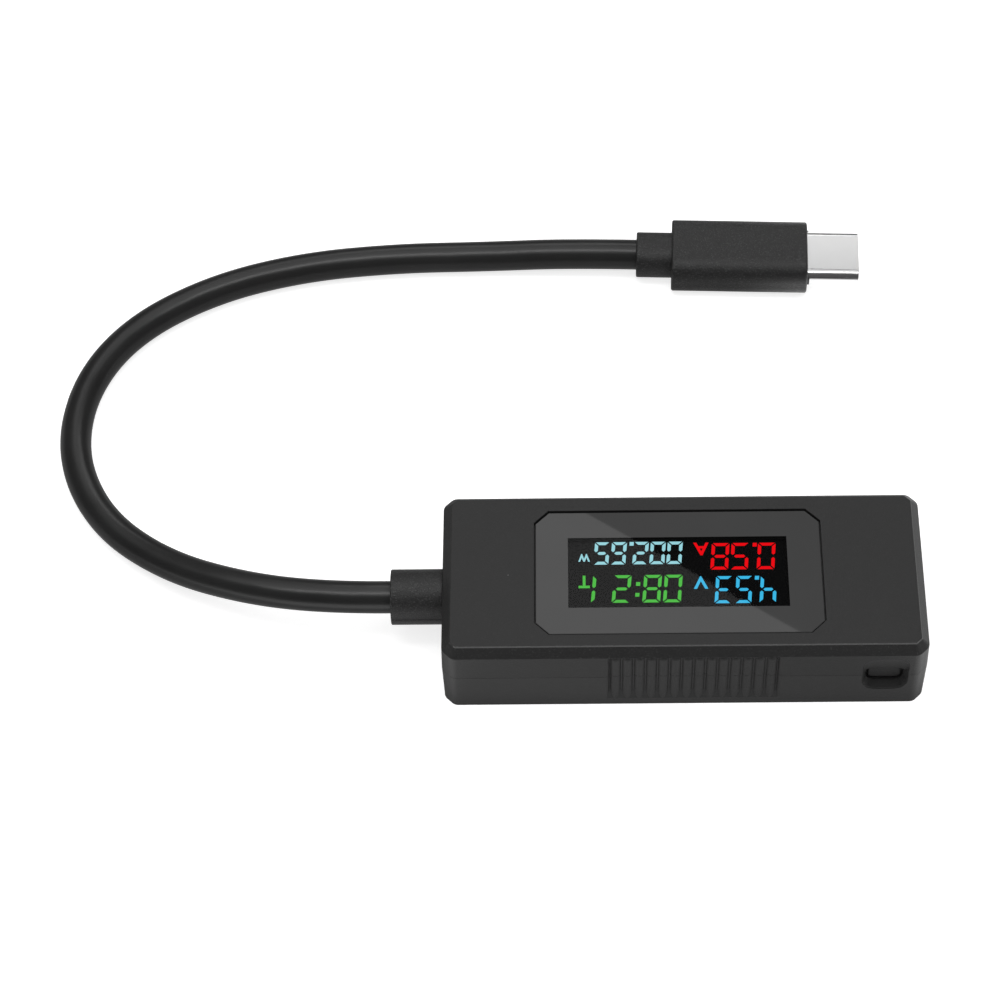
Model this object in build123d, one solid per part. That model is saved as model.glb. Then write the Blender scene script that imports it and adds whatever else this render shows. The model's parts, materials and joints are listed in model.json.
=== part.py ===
from build123d import *
import math
import os

# USB power meter: a small snap-together case with a colour display, a side
# button and a USB-C socket at its +X end, and a short captive cord that leaves
# its -X end, loops round on the table and ends in a USB-C plug.
# Millimetres, +Z up. The origin is the middle of the case's underside,
# +X runs along the case to the socket and -Y is the side with the button.

# ---- case ----
CASE_LENGTH = 60.0        # widest, at the seam
CASE_WIDTH = 24.2
CASE_HEIGHT = 12.0
SEAM_Z = 6.46             # height of the joint between the two shells
SEAM_GAP = 0.04           # visible line between the shells
DRAFT = 1.1               # degrees, both ways from the seam
CORNER_CUT = 1.35         # flat across each vertical corner
CORNER_SOFTNESS = 1.30    # radius on the vertical corner edges
TOP_CHAMFER_IN = 1.06
TOP_CHAMFER_DOWN = 1.28
EDGE_SOFTNESS = 0.15      # radius round the top face
WALL = 1.5
FLOOR = 1.2
ROOF = 1.3
LIP_THICKNESS = 0.5       # upstand of the bottom shell inside the top shell
LIP_HEIGHT = 0.8
LIP_CLEARANCE = 0.06

FRONT_Y = -CASE_WIDTH / 2
INNER_X = CASE_LENGTH / 2 - WALL
INNER_Y = CASE_WIDTH / 2 - WALL

# ---- display window ----
WINDOW_CENTRE = (-0.54, -0.10)
WINDOW_POCKET = (35.9, 18.5)
WINDOW_CUT = 1.8          # 45 degree cut across each corner of the window
WINDOW_GAP = 0.21         # average gap round the window plate
WINDOW_SHIFT_Y = -0.10    # the plate sits towards the button side of its pocket
WINDOW_THICKNESS = 0.58
POCKET_DEPTH = 0.70
TAPE_THICKNESS = 0.10
APERTURE = (29.2, 12.2)   # hole through the roof under the window
VIEW_CENTRE = (-0.60, -0.20)
VIEW_SIZE = (27.3, 10.4)  # part of the display that is seen

# ---- display module ----
PANEL_SIZE = (28.6, 11.6)
PANEL_THICKNESS = 1.0
BACKLIGHT_SIZE = (29.6, 12.6)
BACKLIGHT_THICKNESS = 1.0
TRAY_WALL = 0.35
TRAY_FLOOR = 0.3

# ---- grip ----
GRIP_LEFT = -9.75
GRIP_RIGHT = 11.95
GRIP_BOTTOM = 0.9
GRIP_TOP = 10.7
GRIP_FLOOR_DEPTH = 0.45   # below the case's side at the seam
GRIP_RUN_OUT = 2.2        # height over which the floor rises to the side at its foot
RIB_COUNT = 14
RIB_PITCH = 1.477
RIB_FIRST_X = -8.51
RIB_RADIUS = 0.78
RIB_CREST_DEPTH = 0.10    # of a rib's crest below the case's side

# ---- button ----
BUTTON_X = 24.72
BUTTON_POCKET = (5.70, 3.21, 10.2)      # width, lowest and highest Z at the face
BUTTON_NOTCH = (4.64, 3.95, SEAM_Z)     # the same at the bottom of the slope
BUTTON_POCKET_DEPTH = 1.0
BUTTON_CAP = (4.04, 4.20, 6.38)
BUTTON_FACE_DEPTH = 1.2
BUTTON_TRAVEL = 0.3
BUTTON_POCKET_CORNER = 1.9
BUTTON_NOTCH_CORNER = 1.0
BUTTON_CAP_CORNER = 0.7
BUTTON_RIM_BEVEL = 0.12   # 45 degree bevel round the pocket and round the notch
FLANGE_MARGIN = 0.55
FLANGE_THICKNESS = 0.5

# ---- board ----
BOARD_TOP = 4.87
BOARD_THICKNESS = 1.0
BOARD_LEFT = -25.6
BOARD_RIGHT = 28.0
BOARD_HALF_WIDTH = 9.9
BOARD_NOTCH = (7.0, 1.7)  # clears the button, at the board's edge
POST_PLACES = [(-21.5, 8.2), (-21.5, -8.2), (17.5, 8.2), (15.5, -8.2)]
POST_RADIUS = 1.3
PIN_RADIUS = 0.6
PIN_HOLE_RADIUS = 0.7

# ---- USB-C socket (standard interface) ----
SOCKET_MOUTH = (8.34, 2.56)
SOCKET_WALL = 0.3
SOCKET_GAP = 0.3                        # room round the socket in the case's end
SOCKET_DEPTH = 6.2
SOCKET_LENGTH = 7.6
SOCKET_FRONT_X = 29.75
SOCKET_TONGUE = (6.69, 0.70, 5.0)       # width, thickness, length
SOCKET_Z = BOARD_TOP + SOCKET_MOUTH[1] / 2 + SOCKET_WALL

# ---- cord and gland ----
CORD_DIAMETER = 4.1
GLAND_DIAMETER = 7.0
GLAND_LENGTH = 6.5
GLAND_NECK_DIAMETER = 5.6
GLAND_FLASH = (0.14, 0.05)   # width and height of the parting ridge along its sides
GLAND_Z = 6.5
CORE_DIAMETER = 1.0

# ---- USB-C plug (standard interface) ----
PLUG_PLACE = (0.31, 58.0, 2.9)          # back of the grip, on the plug's axis
PLUG_TURN = -2.1                        # degrees about +Z
GRIP_SIZE = (18.46, 10.2, 5.8)          # length, width, thickness
GRIP_RADIUS = 2.35
COLLAR_SIZE = (4.83, 6.3, 5.0)
COLLAR_RADIUS = 2.3
PLUG_SHELL = (8.25, 2.40)
PLUG_SHELL_WALL = 0.2
PLUG_SHELL_OUT = 7.0                    # exposed length
PLUG_SHELL_IN = 5.5                     # length held in the grip
PLUG_SLOT = (6.80, 0.90)

# The cord's route: points that its runs join, chosen to follow its loop.
CORD_ROUTE = [
    (-36.5, 0.0, 6.5),
    (-44.0, 0.0, 6.5),
    (-55.0, 2.2, 5.4),
    (-66.0, 7.4, 3.1),
    (-75.0, 15.1, 2.1),
    (-79.7, 25.6, 2.1),
    (-78.8, 37.0, 2.1),
    (-73.1, 46.5, 2.1),
    (-62.7, 53.45, 2.1),
    (-50.5, 57.25, 2.1),
    (-37.5, 58.65, 2.1),
    (-25.0, 58.8, 2.1),
    (-14.06, 58.53, 2.9),
    (-4.517, 58.177, 2.9),
]
ARC_SHARE = 0.45          # share of the shorter run that each arc takes up


# ---- small helpers ----

def block(x0, x1, y0, y1, z0, z1):
    """A box between two opposite corners."""
    size = Box(abs(x1 - x0), abs(y1 - y0), abs(z1 - z0))
    return Pos((x0 + x1) / 2, (y0 + y1) / 2, (z0 + z1) / 2) * size


def chamfered_outline(length, width, cut):
    """A rectangle about the origin with a flat across each corner."""
    outline = Rectangle(length, width)
    return chamfer(outline.vertices(), cut)


def rounded_bar(length, width, thickness, radius):
    """A bar along +X from the origin, with rounded long edges."""
    section = Plane.YZ * RectangleRounded(width, thickness, radius)
    return extrude(section, length, dir=(1, 0, 0))


def stadium_bar(length, width, thickness):
    """A bar along +X from the origin, whose section has round sides."""
    return rounded_bar(length, width, thickness, thickness / 2 - 0.001)


def rod_x(radius, x0, x1, y, z):
    """A round rod along X."""
    turned = Rot(0, 90, 0) * Cylinder(radius, x1 - x0)
    return Pos((x0 + x1) / 2, y, z) * turned


def rod_z(radius, x, y, z0, z1):
    """A round rod along Z."""
    return Pos(x, y, (z0 + z1) / 2) * Cylinder(radius, z1 - z0)


def group(solids):
    """Separate like pieces kept as one sub-part."""
    return Compound(children=list(solids))


def arc_radii(points):
    """The radius of each corner's arc, from its shorter run and its turn."""
    vectors = [Vector(*point) for point in points]
    radii = []
    for before, corner, after in zip(vectors, vectors[1:], vectors[2:]):
        run_in = corner - before
        run_out = after - corner
        half_turn = math.radians(run_in.get_angle(run_out)) / 2
        shorter = min(run_in.length, run_out.length)
        radii.append(ARC_SHARE * shorter / math.tan(half_turn))
    return radii


def tube(points, diameter):
    """A round tube of straight runs joined by tangent arcs, and its length."""
    radii = arc_radii(points)
    path = FilletPolyline(*points, radius=radii)
    start = Plane(origin=path @ 0, z_dir=path % 0)
    body = sweep(start * Circle(diameter / 2), path=path)
    return body, path.length, radii


# ---- case shells ----

def case_body():
    """The solid outer form of both shells together."""
    outline = chamfered_outline(CASE_LENGTH, CASE_WIDTH, CORNER_CUT)
    outline = fillet(outline.vertices(), CORNER_SOFTNESS)
    seam = Pos(0, 0, SEAM_Z) * outline
    lower = extrude(seam, SEAM_Z, dir=(0, 0, -1), taper=DRAFT)
    upper_height = CASE_HEIGHT - TOP_CHAMFER_DOWN - SEAM_Z
    upper = extrude(seam, upper_height, dir=(0, 0, 1), taper=DRAFT)
    shoulder = upper.faces().sort_by(Axis.Z)[-1]
    slope = math.degrees(math.atan(TOP_CHAMFER_IN / TOP_CHAMFER_DOWN))
    crown = extrude(shoulder, TOP_CHAMFER_DOWN, dir=(0, 0, 1), taper=slope)
    crown = fillet(crown.faces().sort_by(Axis.Z)[-1].edges(), EDGE_SOFTNESS)
    return lower + upper + crown


def grip_floor():
    """The grip's recess before its ribs: level down the side, then running out."""
    outside = FRONT_Y - 1
    floor_y = FRONT_Y + GRIP_FLOOR_DEPTH
    side = Polyline(
        (outside, GRIP_TOP), (FRONT_Y, GRIP_TOP), (floor_y, GRIP_TOP - GRIP_FLOOR_DEPTH / 2),
        (floor_y, GRIP_BOTTOM + GRIP_RUN_OUT), (FRONT_Y, GRIP_BOTTOM), (outside, GRIP_BOTTOM),
        close=True,
    )
    profile = Pos(GRIP_LEFT, 0, 0) * (Plane.YZ * make_face(side))
    return extrude(profile, GRIP_RIGHT - GRIP_LEFT, dir=(1, 0, 0))


def rib(x):
    """One upright rib with a domed head."""
    y = FRONT_Y + RIB_CREST_DEPTH + RIB_RADIUS
    head_z = GRIP_TOP - RIB_RADIUS - 0.02
    head = Pos(x, y, head_z) * Sphere(RIB_RADIUS)
    return rod_z(RIB_RADIUS, x, y, GRIP_BOTTOM - 1, head_z) + head


def grip_cutter():
    """The grip's recess less its ribs and the half rib that rounds each end wall."""
    recess = grip_floor()
    for index in range(RIB_COUNT):
        recess -= rib(RIB_FIRST_X + index * RIB_PITCH)
    for x in (GRIP_LEFT - 0.2, GRIP_RIGHT + 0.2):
        y = FRONT_Y + RIB_RADIUS + 0.01
        recess -= rod_z(RIB_RADIUS, x, y, GRIP_BOTTOM - 1, GRIP_TOP + 1)
    return recess


def button_section(width, low, high, radius, y):
    """A rounded rectangle in an XZ plane, about the button's middle."""
    plane = Plane(origin=(BUTTON_X, y, (low + high) / 2), x_dir=(1, 0, 0), z_dir=(0, 1, 0))
    return plane * RectangleRounded(width, high - low, radius)


def button_bevel(size, corner, y):
    """A 45 degree bevel that opens a rounded section towards the outside."""
    width, low, high = size
    grow = BUTTON_RIM_BEVEL
    outer = button_section(width + 2 * grow, low - grow, high + grow, corner + grow, y - 0.01)
    inner = button_section(width, low, high, corner, y + grow)
    return loft([outer, inner])


def button_pocket():
    """The sloping pocket round the button, cut from both shells."""
    face_y = FRONT_Y + 0.06
    neck_y = FRONT_Y + BUTTON_POCKET_DEPTH
    rim = button_section(*BUTTON_POCKET, BUTTON_POCKET_CORNER, face_y)
    neck = button_section(*BUTTON_NOTCH, BUTTON_NOTCH_CORNER, neck_y)
    slope = loft([rim, neck])
    outside = extrude(rim, 1, dir=(0, -1, 0))
    rim_bevel = button_bevel(BUTTON_POCKET, BUTTON_POCKET_CORNER, face_y)
    neck_bevel = button_bevel(BUTTON_NOTCH, BUTTON_NOTCH_CORNER, neck_y - 0.04)
    return slope + outside + rim_bevel + neck_bevel


def button_notch():
    """The way through the bottom shell's wall for the button cap."""
    width, low, high = BUTTON_NOTCH
    corner = BUTTON_NOTCH_CORNER
    section = button_section(width, low, high + 2 * corner, corner, FRONT_Y + 0.5)
    return extrude(section, WALL, dir=(0, 1, 0))


def socket_opening():
    """The hole in the +X end round the socket."""
    width, height = (side + 2 * SOCKET_WALL + SOCKET_GAP for side in SOCKET_MOUTH)
    return Pos(INNER_X - 1, 0, SOCKET_Z) * stadium_bar(4, width, height)


def gland_opening():
    """The round hole in the -X end for the gland's neck."""
    radius = GLAND_NECK_DIAMETER / 2 + 0.08
    return rod_x(radius, -CASE_LENGTH / 2 - 1, -INNER_X + 1, 0, GLAND_Z)


def cavity(low, high):
    """The room inside the case between two heights."""
    outline = chamfered_outline(2 * INNER_X, 2 * INNER_Y, 0.9)
    return extrude(Pos(0, 0, low) * outline, high - low, dir=(0, 0, 1))


def lip_ring(low, high, outwards):
    """The ring that the lip, or the rebate for it, takes up."""
    grow = 2 * (LIP_THICKNESS + outwards)
    outer = chamfered_outline(2 * INNER_X + grow, 2 * INNER_Y + grow, 1.1)
    ring = extrude(Pos(0, 0, low) * outer, high - low, dir=(0, 0, 1))
    return ring - cavity(low - 1, high + 1)


def lip_gaps():
    """Where the lip stops: at the gland, the socket and the button."""
    low = SEAM_Z - 1
    high = SEAM_Z + LIP_HEIGHT + 1
    reach = CASE_LENGTH / 2
    gland = block(-reach, -INNER_X + 1, -4.4, 4.4, low, high)
    socket = block(INNER_X - 1, reach, -5.6, 5.6, low, high)
    button = block(BUTTON_X - 3.6, BUTTON_X + 3.6, FRONT_Y, -INNER_Y + 1, low, high)
    return gland + socket + button


def snap_places():
    """Middle X and side of each snap clip."""
    return [(x, side) for x in (-20.0, 3.0, 19.0) for side in (-1, 1)]


def snap_bead(x, side, grow):
    """A half-round bead along the lip, or the groove that it clicks into."""
    y = side * (INNER_Y + LIP_THICKNESS)
    length = 4.0 + 2 * grow
    z = SEAM_Z + LIP_HEIGHT / 2 + 0.05
    return rod_x(0.14 + grow, x - length / 2, x + length / 2, y, z)


def window_outline(margin):
    """The window pocket's octagon, made smaller all round by a margin."""
    length = WINDOW_POCKET[0] - 2 * margin
    width = WINDOW_POCKET[1] - 2 * margin
    cut = WINDOW_CUT - margin * (2 - math.sqrt(2))
    return chamfered_outline(length, width, cut)


def top_shell(body):
    shell = body & block(-40, 40, -20, 20, SEAM_Z + SEAM_GAP / 2, CASE_HEIGHT + 1)
    shell -= cavity(SEAM_Z - 1, CASE_HEIGHT - ROOF)
    rebate_top = SEAM_Z + LIP_HEIGHT + LIP_CLEARANCE
    shell -= lip_ring(SEAM_Z - 1, rebate_top, LIP_CLEARANCE)
    pocket_z = CASE_HEIGHT - POCKET_DEPTH
    shell -= extrude(Pos(*WINDOW_CENTRE, pocket_z) * window_outline(0), 2, dir=(0, 0, 1))
    aperture = Pos(*VIEW_CENTRE, pocket_z - 2) * RectangleRounded(*APERTURE, 0.5)
    shell -= extrude(aperture, 3, dir=(0, 0, 1))
    for x, side in snap_places():
        shell -= snap_bead(x, side, LIP_CLEARANCE)
    for x in (-24.0, 20.0):
        shell += block(x - 0.4, x + 0.4, 4.0, 8.6, BOARD_TOP + 0.05, CASE_HEIGHT - ROOF + 0.1)
    return shell


def bottom_shell(body):
    shell = body & block(-40, 40, -20, 20, -1, SEAM_Z - SEAM_GAP / 2)
    shell -= cavity(FLOOR, SEAM_Z + 1)
    lip = lip_ring(SEAM_Z - 0.6, SEAM_Z + LIP_HEIGHT, 0) - lip_gaps()
    for x, side in snap_places():
        lip += snap_bead(x, side, 0)
    shell += lip
    shell -= button_notch()
    board_bottom = BOARD_TOP - BOARD_THICKNESS
    for x, y in POST_PLACES:
        shell += rod_z(POST_RADIUS, x, y, FLOOR - 0.1, board_bottom)
        shell += rod_z(PIN_RADIUS, x, y, board_bottom - 0.1, BOARD_TOP + 0.4)
    for side in (-1, 1):
        shell += block(8.0, 8.8, side * 3.0, side * 9.0, FLOOR - 0.1, board_bottom)
    return shell


# ---- display ----

def display_window():
    low = CASE_HEIGHT - POCKET_DEPTH + TAPE_THICKNESS
    middle = (WINDOW_CENTRE[0], WINDOW_CENTRE[1] + WINDOW_SHIFT_Y)
    plate = extrude(Pos(*middle, low) * window_outline(WINDOW_GAP), WINDOW_THICKNESS, dir=(0, 0, 1))
    return chamfer(plate.faces().sort_by(Axis.Z)[-1].edges(), 0.06)


def window_adhesive():
    low = CASE_HEIGHT - POCKET_DEPTH
    middle = (WINDOW_CENTRE[0], WINDOW_CENTRE[1] + WINDOW_SHIFT_Y)
    frame = Pos(*middle) * window_outline(WINDOW_GAP + 0.1)
    frame -= Pos(*VIEW_CENTRE) * Rectangle(*VIEW_SIZE)
    return extrude(Pos(0, 0, low) * frame, TAPE_THICKNESS, dir=(0, 0, 1))


PANEL_TOP = CASE_HEIGHT - POCKET_DEPTH - 0.02
PANEL_LOW = PANEL_TOP - PANEL_THICKNESS
BACKLIGHT_LOW = PANEL_LOW - BACKLIGHT_THICKNESS


def centred_plate(size, low, high):
    """A plate of the display module, centred on the view."""
    x, y = VIEW_CENTRE
    half_x, half_y = size[0] / 2, size[1] / 2
    return block(x - half_x, x + half_x, y - half_y, y + half_y, low, high)


def lcd_panel():
    length, width = PANEL_SIZE
    polariser_low = PANEL_TOP - 0.15
    lower_glass = centred_plate(PANEL_SIZE, PANEL_LOW, PANEL_LOW + 0.45)
    upper_glass = centred_plate((length - 0.4, width), PANEL_LOW + 0.4, polariser_low)
    polariser = centred_plate((length - 0.8, width - 0.4), polariser_low, PANEL_TOP)
    return lower_glass + upper_glass + polariser


LED_BAY = (0.9, 8.0)      # bay along X and Y in the light guide's edge
LED_PITCH = 2.6
LED_HALF_LENGTH = 0.8


def backlight_edge_x():
    return VIEW_CENTRE[0] - BACKLIGHT_SIZE[0] / 2


def lcd_backlight():
    guide = centred_plate(BACKLIGHT_SIZE, BACKLIGHT_LOW, PANEL_LOW)
    edge = backlight_edge_x()
    half = LED_BAY[1] / 2
    y = VIEW_CENTRE[1]
    bay_top = PANEL_LOW - 0.15
    bay = block(edge - 1, edge + LED_BAY[0], y - half, y + half, BACKLIGHT_LOW - 1, bay_top)
    return guide - bay


def backlight_leds():
    edge = backlight_edge_x()
    y = VIEW_CENTRE[1]
    leds = []
    for middle in (y - LED_PITCH, y, y + LED_PITCH):
        low_y, high_y = middle - LED_HALF_LENGTH, middle + LED_HALF_LENGTH
        leds.append(block(edge + 0.15, edge + 0.75, low_y, high_y, BACKLIGHT_LOW, PANEL_LOW - 0.3))
    return group(leds)


def lcd_frame():
    inner = tuple(side + 0.1 for side in BACKLIGHT_SIZE)
    outer = tuple(side + 2 * TRAY_WALL for side in inner)
    low = BACKLIGHT_LOW - TRAY_FLOOR
    tray = centred_plate(outer, low, PANEL_LOW + 0.3)
    tray -= centred_plate(inner, BACKLIGHT_LOW, PANEL_LOW + 1)
    right = VIEW_CENTRE[0] + outer[0] / 2
    y = VIEW_CENTRE[1]
    tray -= block(right - 1, right + 1, y - 4.4, y + 4.4, PANEL_LOW - 0.1, PANEL_LOW + 1)
    return tray


FLEX_THICKNESS = 0.12
FLEX_HALF_WIDTH = 4.0
FLEX_CONNECTOR_X = 12.2


def lcd_flex():
    """Ribbon from the panel's +X edge, folded down and back to the board."""
    start_x = VIEW_CENTRE[0] + PANEL_SIZE[0] / 2
    top_z = PANEL_LOW + 0.25
    low_z = BOARD_TOP + 0.55
    turn_x = start_x + 2.6
    line = FilletPolyline(
        (start_x, 0, top_z), (turn_x, 0, top_z), (turn_x, 0, low_z), (FLEX_CONNECTOR_X, 0, low_z),
        radius=0.8,
    )
    edge = Plane(origin=line @ 0, x_dir=(0, 1, 0), z_dir=line % 0)
    ribbon = sweep(edge * Rectangle(2 * FLEX_HALF_WIDTH, FLEX_THICKNESS), path=line)
    return Pos(0, VIEW_CENTRE[1], 0) * ribbon


def flex_connector():
    y = VIEW_CENTRE[1]
    x = FLEX_CONNECTOR_X
    body = block(x - 3.0, x + 0.4, y - 5.0, y + 5.0, BOARD_TOP, BOARD_TOP + 1.1)
    slot = block(x, x + 1, y - 4.1, y + 4.1, BOARD_TOP + 0.4, BOARD_TOP + 0.7)
    latch = block(x - 0.9, x - 0.3, y - 4.6, y + 4.6, BOARD_TOP + 1.0, BOARD_TOP + 1.25)
    return body - slot + latch


# ---- board and its components ----

def main_board():
    low = BOARD_TOP - BOARD_THICKNESS
    board = block(BOARD_LEFT, BOARD_RIGHT, -BOARD_HALF_WIDTH, BOARD_HALF_WIDTH, low, BOARD_TOP)
    half = BOARD_NOTCH[0] / 2
    edge = -BOARD_HALF_WIDTH
    notch_y = edge + BOARD_NOTCH[1]
    board -= block(BUTTON_X - half, BOARD_RIGHT + 1, edge - 1, notch_y, low - 1, BOARD_TOP + 1)
    for x, y in POST_PLACES:
        board -= rod_z(PIN_HOLE_RADIUS, x, y, low - 1, BOARD_TOP + 1)
    return board


def chip_place():
    """Middle of the controller on the board."""
    return (-3.0, 0.5)


CHIP_HALF = 3.5
CHIP_THICKNESS = 1.0
CHIP_LEG_PITCH = 0.65
CHIP_LEGS_PER_SIDE = 8


def controller_chip():
    x, y = chip_place()
    low = BOARD_TOP + 0.1
    high = low + CHIP_THICKNESS
    body = block(x - CHIP_HALF, x + CHIP_HALF, y - CHIP_HALF, y + CHIP_HALF, low, high)
    body = chamfer(body.faces().sort_by(Axis.Z)[-1].edges(), 0.15)
    dot = Pos(x - 2.5, y + 2.5, high) * Cylinder(0.4, 0.1)
    return body - dot


def chip_leg():
    """One gull-wing leg that leaves the chip's +X side at the origin."""
    foot = block(0.55, 1.0, -0.14, 0.14, 0, 0.12)
    riser = block(0.45, 0.57, -0.14, 0.14, 0, 0.6)
    shoulder = block(0, 0.57, -0.14, 0.14, 0.48, 0.6)
    return foot + riser + shoulder


def controller_leads():
    x, y = chip_place()
    leg = chip_leg()
    legs = []
    first = -(CHIP_LEGS_PER_SIDE - 1) / 2 * CHIP_LEG_PITCH
    for side in range(4):
        for index in range(CHIP_LEGS_PER_SIDE):
            along = first + index * CHIP_LEG_PITCH
            turned = Rot(0, 0, 90 * side) * Pos(CHIP_HALF, along, 0) * leg
            legs.append(Pos(x, y, BOARD_TOP) * turned)
    return group(legs)


def shunt_resistor():
    x, y = -15.0, -4.0
    body = block(x - 3.2, x + 3.2, y - 1.6, y + 1.6, BOARD_TOP + 0.1, BOARD_TOP + 0.65)
    for side in (-1, 1):
        end = x + side * 2.6
        body += block(end - 0.6, end + 0.6, y - 1.6, y + 1.6, BOARD_TOP, BOARD_TOP + 0.7)
    return body


def regulator_chip():
    x, y = -13.5, 4.6
    body = block(x - 1.5, x + 1.5, y - 0.8, y + 0.8, BOARD_TOP + 0.05, BOARD_TOP + 1.1)
    for offset, side in ((-0.95, -1), (0.0, -1), (0.95, -1), (-0.95, 1), (0.95, 1)):
        near = y + side * 0.7
        far = y + side * 1.4
        body += block(x + offset - 0.2, x + offset + 0.2, near, far, BOARD_TOP, BOARD_TOP + 0.2)
    return body


def crystal():
    x, y = -3.0, -6.6
    base = block(x - 1.6, x + 1.6, y - 1.25, y + 1.25, BOARD_TOP, BOARD_TOP + 0.45)
    lid = block(x - 1.4, x + 1.4, y - 1.05, y + 1.05, BOARD_TOP + 0.4, BOARD_TOP + 0.75)
    return base + fillet(lid.edges().filter_by(Axis.Z), 0.3)


def chip_component(x, y, length, width, height, turned):
    """A two-ended surface-mount component, its end caps slightly proud."""
    body = block(-length / 2, length / 2, -width / 2 + 0.04, width / 2 - 0.04, 0.04, height - 0.04)
    for side in (-1, 1):
        cap = block(-0.15 * length, 0.15 * length, -width / 2, width / 2, 0, height)
        body += Pos(side * 0.4 * length, 0, 0) * cap
    return Pos(x, y, BOARD_TOP) * Rot(0, 0, 90 if turned else 0) * body


def capacitors():
    places = [
        (-9.8, 7.6, False), (-6.0, 7.6, False), (-2.2, 7.6, False), (3.6, 3.0, True),
        (3.6, -3.0, True), (-18.6, 3.6, True), (18.2, 4.0, True), (18.2, -2.6, True),
    ]
    return group(chip_component(x, y, 2.0, 1.25, 1.0, turned) for x, y, turned in places)


def resistors():
    places = [
        (-9.4, -7.6, False), (1.6, -7.6, False), (4.6, -7.6, False), (7.6, -7.6, False),
        (2.2, 7.6, False), (5.2, 7.6, False), (6.0, 0.8, True), (6.0, -1.6, True),
        (-9.4, 1.6, True), (-9.4, -1.2, True),
    ]
    return group(chip_component(x, y, 1.6, 0.8, 0.45, turned) for x, y, turned in places)


# ---- button and its switch ----

SWITCH_WIDTH = 4.7
SWITCH_FRONT_Y = -8.6
SWITCH_BACK_Y = -5.1
SWITCH_HEIGHT = 1.9
SWITCH_ROOM = (3.2, 1.36)                # width and height inside the switch
DOME_RISE = 0.6
DOME_THICKNESS = 0.1
PLUNGER_Z = BOARD_TOP + 0.95
PLUNGER_HALF = (1.0, 0.4)                # half width and half height
PLUNGER_COLLAR_HALF = (1.3, 0.6)
PLUNGER_CLEARANCE = 0.1
PLUNGER_TIP_Y = SWITCH_FRONT_Y - BUTTON_TRAVEL - 0.1   # keeps clear when pressed
PLUNGER_COLLAR_Y = -7.9
PLUNGER_COLLAR_THICKNESS = 0.35
DOME_CREST_Y = PLUNGER_COLLAR_Y + PLUNGER_COLLAR_THICKNESS + 0.02
DOME_FOOT_Y = DOME_CREST_Y + DOME_RISE


def button_cap():
    width, low, high = BUTTON_CAP
    face_y = FRONT_Y + BUTTON_FACE_DEPTH
    flange_y = -INNER_Y + 0.1
    face = button_section(width, low, high, BUTTON_CAP_CORNER, face_y)
    cap = extrude(face, flange_y - face_y, dir=(0, 1, 0))
    cap = fillet(cap.faces().sort_by(Axis.Y)[0].edges(), 0.15)
    flange = block(
        BUTTON_X - width / 2 - FLANGE_MARGIN, BUTTON_X + width / 2 + FLANGE_MARGIN,
        flange_y, flange_y + FLANGE_THICKNESS, low - FLANGE_MARGIN, high + FLANGE_MARGIN,
    )
    stem_start = flange_y + FLANGE_THICKNESS
    stem = block(BUTTON_X - 0.9, BUTTON_X + 0.9, stem_start, PLUNGER_TIP_Y, 5.2, 6.4)
    return cap + flange + stem


def switch_housing():
    half = SWITCH_WIDTH / 2
    left, right = BUTTON_X - half, BUTTON_X + half
    top = BOARD_TOP + SWITCH_HEIGHT
    body = block(left, right, SWITCH_FRONT_Y, SWITCH_BACK_Y, BOARD_TOP, top)
    body = chamfer(body.edges().filter_by(Axis.Z), 0.2)
    room_x, room_z = SWITCH_ROOM
    low = PLUNGER_Z - room_z / 2
    room_front = PLUNGER_COLLAR_Y - 0.02
    room_back = DOME_FOOT_Y + DOME_THICKNESS
    room_left, room_right = BUTTON_X - room_x / 2, BUTTON_X + room_x / 2
    body -= block(room_left, room_right, room_front, room_back, low, low + room_z)
    hole_x, hole_z = (side + PLUNGER_CLEARANCE for side in PLUNGER_HALF)
    return body - block(
        BUTTON_X - hole_x, BUTTON_X + hole_x, SWITCH_FRONT_Y - 1, room_front + 0.1,
        PLUNGER_Z - hole_z, PLUNGER_Z + hole_z,
    )


def switch_plunger():
    x, z = PLUNGER_HALF
    tip = block(
        BUTTON_X - x, BUTTON_X + x, PLUNGER_TIP_Y, PLUNGER_COLLAR_Y, PLUNGER_Z - z, PLUNGER_Z + z,
    )
    x, z = PLUNGER_COLLAR_HALF
    collar_back = PLUNGER_COLLAR_Y + PLUNGER_COLLAR_THICKNESS
    collar = block(
        BUTTON_X - x, BUTTON_X + x, PLUNGER_COLLAR_Y, collar_back, PLUNGER_Z - z, PLUNGER_Z + z,
    )
    return tip + collar


def switch_dome():
    """The bowed snap spring that the plunger pushes in."""
    half = 1.4
    back_y = DOME_FOOT_Y + DOME_THICKNESS
    outer = ThreePointArc((-half, DOME_FOOT_Y), (0, DOME_CREST_Y), (half, DOME_FOOT_Y))
    inner = ThreePointArc((half, back_y), (0, DOME_CREST_Y + DOME_THICKNESS), (-half, back_y))
    right = Line((half, DOME_FOOT_Y), (half, back_y))
    left = Line((-half, back_y), (-half, DOME_FOOT_Y))
    profile = make_face([outer, right, inner, left])
    width = 1.1
    strip = extrude(profile, width, dir=(0, 0, 1))
    return Pos(BUTTON_X, 0, PLUNGER_Z - width / 2) * strip


# ---- socket ----

def socket_shell():
    width, height = (side + 2 * SOCKET_WALL for side in SOCKET_MOUTH)
    start = SOCKET_FRONT_X - SOCKET_LENGTH
    shell = Pos(start, 0, SOCKET_Z) * stadium_bar(SOCKET_LENGTH, width, height)
    shell -= Pos(start - 1, 0, SOCKET_Z) * stadium_bar(SOCKET_LENGTH + 2, *SOCKET_MOUTH)
    return shell


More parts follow.
